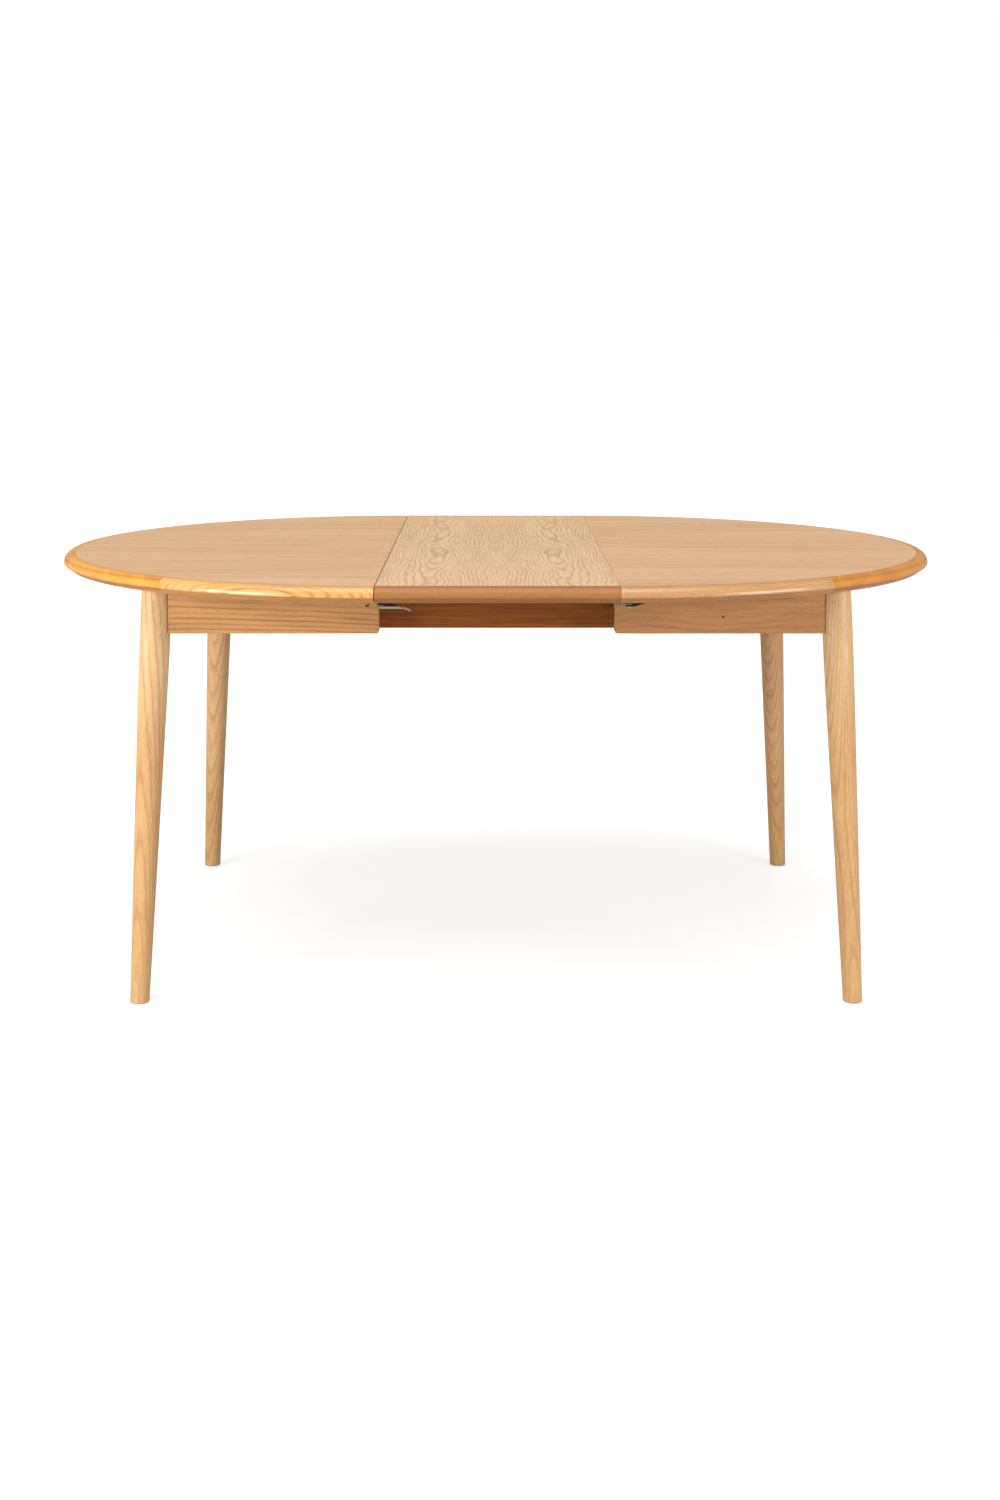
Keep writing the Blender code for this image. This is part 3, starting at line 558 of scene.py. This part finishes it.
def build_half(name, side):
    """The wooden pieces that slide out with one half of the table."""
    body = f"{name}_half"
    new_piece(f"{name}_top", half_panel(side), body)
    gap = FIT / 2 / TOP_RADIUS
    spans = {
        "tip": (-LIPPING_JOINT + gap, LIPPING_JOINT - gap),
        "front": (-math.pi / 2, -LIPPING_JOINT - gap),
        "back": (LIPPING_JOINT + gap, math.pi / 2),
    }
    for place, (start, end) in spans.items():
        if side < 0:
            start, end = math.pi - end, math.pi - start
        new_piece(f"{name}_{place}_lipping", rim(side * HALF_SPACE, start, end), body)
    new_piece(f"{name}_end_apron", end_apron(side), body)
    for place, end in ENDS.items():
        new_piece(f"{name}_{place}_leg", leg(side, end), body)
        new_piece(f"{name}_{place}_apron", side_apron(side, end), body)


def build_leaf():
    """The two panels of the leaf, with their stretches of rim."""
    for place, end in ENDS.items():
        body = f"leaf_{place}"
        new_piece(f"leaf_{place}_panel", leaf_panel(end), body)
        new_piece(f"leaf_{place}_lipping", leaf_lipping(end), body)


def dress_cad_node(name, material, ease):
    """A CAD node that is shown as it is, with its edges rounded."""
    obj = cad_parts[name]
    obj.data.materials.clear()
    obj.data.materials.append(material)
    weld = obj.modifiers.new("Weld", "WELD")
    weld.merge_threshold = 1e-5
    bevel = obj.modifiers.new("Bevel", "BEVEL")
    bevel.width = ease
    bevel.segments = 2
    bevel.limit_method = "ANGLE"
    bevel.angle_limit = math.radians(40)
    even_normals(obj)


def dress_frame():
    """The wooden rails, runners, bearers and blocks under the top."""
    # The wood along X is dark partly as darker wood and partly as painted shade, for its place deep under the
    # top.
    along = wood(
        "frame_wood_x_dark_and_painted_shade", "9A571A", "5A2A08", GRAIN_X, (0, -0.36, 0.60), ring=0.008, lines=0.3, sway=0.01,
        streaks=0.6, streak_scale=(6, 130, 130), fibres=0.5, roughness=0.6, coat=0.0, specular=0.3,
    )
    across = wood(
        "frame_wood_y", "8A5730", "5E3416", GRAIN_Y, (0, 0, 0.60), ring=0.007, sway=0.01, roughness=0.55,
    )
    upright = wood(
        "block_wood", "B98048", "805028", GRAIN_Z, (0, 0, 0.5), ring=0.006, sway=0.01, roughness=0.6,
    )
    for place in ENDS:
        dress_cad_node(f"{place}_rail", along, 0.0010)
    dress_cad_node("gear_channel", along, 0.0008)
    for name in SIDES:
        dress_cad_node(f"{name}_bearer", across, 0.0008)
        for place in ENDS:
            dress_cad_node(f"{name}_{place}_runner", along, 0.0006)
            dress_cad_node(f"{name}_{place}_corner_block", upright, 0.0008)


def dress_fittings():
    """The gear, the hinge cups of the leaf and the four latches."""
    steel = metal("zinc_steel", "A8A59F", 0.34)
    # Painted shade: a dark copy of the steel for the latch bases and keepers, which sit in shade under the
    # top.
    shaded = metal("shaded_steel", "3E3934", 0.45)
    # Painted light and shade on the levers: pale steel below a height as painted light, and the dark steel
    # above it as painted shade.
    lever = metal("lever_steel_painted_light_and_shade", "D8CDB8", 0.40, above=(0.7090, "3E3934"))
    brass = metal("brass", "C9A45C", 0.36, brushed=(700, 60, 700))
    latch = {"latch_base": shaded, "keeper": shaded, "lever": lever, "bail": steel}
    dress_cad_node("gear_axle", steel, 0.0003)
    dress_cad_node("pinion", steel, 0.0001)
    for name in SIDES:
        dress_cad_node(f"{name}_rack", steel, 0.0002)
        for place in ENDS:
            dress_cad_node(f"leaf_{place}_{name}_hinge_cup", brass, 0.0004)
            for part, finish in latch.items():
                dress_cad_node(f"{name}_{place}_{part}", finish, 0.0002)


for name, side in SIDES.items():
    build_half(name, side)
build_leaf()
dress_frame()
dress_fittings()


# ---------------------------------------------------------------- the studio


FLOOR_RADIUS, FLOOR_LEVEL = 60.0, -0.0005
CAMERA_TILT, CAMERA_ROLL, CAMERA_TURN = -0.0446, -0.0009, -0.0051


def build_floor():
    """A pale floor just under the feet, wide enough to reach the horizon."""
    bm = bmesh.new()
    bmesh.ops.create_circle(bm, cap_ends=True, segments=64, radius=FLOOR_RADIUS)
    mesh = bpy.data.meshes.new("floor")
    bm.to_mesh(mesh)
    bm.free()
    obj = bpy.data.objects.new("floor", mesh)
    obj.location.z = FLOOR_LEVEL
    bpy.context.scene.collection.objects.link(obj)
    g = Graph("floor_paint")
    g.shade(
        Base_Color=(0.50, 0.50, 0.50, 1),
        Roughness=0.9,
        Emission_Color=(1, 1, 1, 1),
        Emission_Strength=0.68,
    )
    mesh.materials.append(g.material)
    # The paint's own glow keeps the floor pale without lighting the table from below.
    lit = bpy.data.collections.new("lit_by_floor")
    lit.objects.link(obj)
    obj.light_linking.receiver_collection = lit


def build_world(ambient):
    """An even pale surround: dimmer as a light than as the backdrop that is seen."""
    world = bpy.data.worlds.new("studio")
    bpy.context.scene.world = world
    world.use_nodes = True
    nodes, links = world.node_tree.nodes, world.node_tree.links
    background = nodes["Background"]
    background.inputs["Color"].default_value = (1, 1, 1, 1)
    path = nodes.new("ShaderNodeLightPath")
    level = nodes.new("ShaderNodeMapRange")
    level.inputs["To Min"].default_value = ambient
    level.inputs["To Max"].default_value = 1.0
    links.new(path.outputs["Is Camera Ray"], level.inputs["Value"])
    links.new(level.outputs["Result"], background.inputs["Strength"])


def add_light(name, data, place, direction):
    obj = bpy.data.objects.new(name, data)
    obj.location = place
    obj.rotation_euler = Vector(direction).to_track_quat("-Z", "Y").to_euler()
    bpy.context.scene.collection.objects.link(obj)


def area_light(name, place, target, width, height, watts):
    """A rectangular soft light that faces a point."""
    data = bpy.data.lights.new(name, "AREA")
    data.shape = "RECTANGLE"
    data.size, data.size_y = width, height
    data.energy = watts
    add_light(name, data, place, Vector(target) - Vector(place))


def sun_light(name, direction, strength, softness):
    """Light from very far away; its softness is how many degrees of the sky it fills."""
    data = bpy.data.lights.new(name, "SUN")
    data.energy = strength
    data.angle = math.radians(softness)
    add_light(name, data, (0, 0, 0), direction)


def build_camera():
    """A nearly level view from the front, from above the height of the top."""
    data = bpy.data.cameras.new("camera")
    data.sensor_width = 36.0
    data.lens = 44.23
    data.shift_y = -0.2170
    data.clip_end = 200.0
    obj = bpy.data.objects.new("camera", data)
    obj.location = (-0.0111, -3.5786, 1.1449)
    obj.rotation_euler = (math.pi / 2 + CAMERA_TILT, CAMERA_ROLL, CAMERA_TURN)
    bpy.context.scene.collection.objects.link(obj)
    bpy.context.scene.camera = obj


build_floor()
build_world(ambient=0.34)
sun_light("overhead", (0.1, 0.3, -1.0), strength=1.88, softness=50)
area_light("left_key", (-2.5, -2.25, 1.18), (-0.4, -0.2, 0.7), width=1.3, height=0.8, watts=56)
area_light("right_fill", (2.7, -2.1, 1.18), (0.4, -0.2, 0.7), width=1.3, height=0.8, watts=38)
build_camera()
bpy.context.scene.view_settings.view_transform = "Standard"
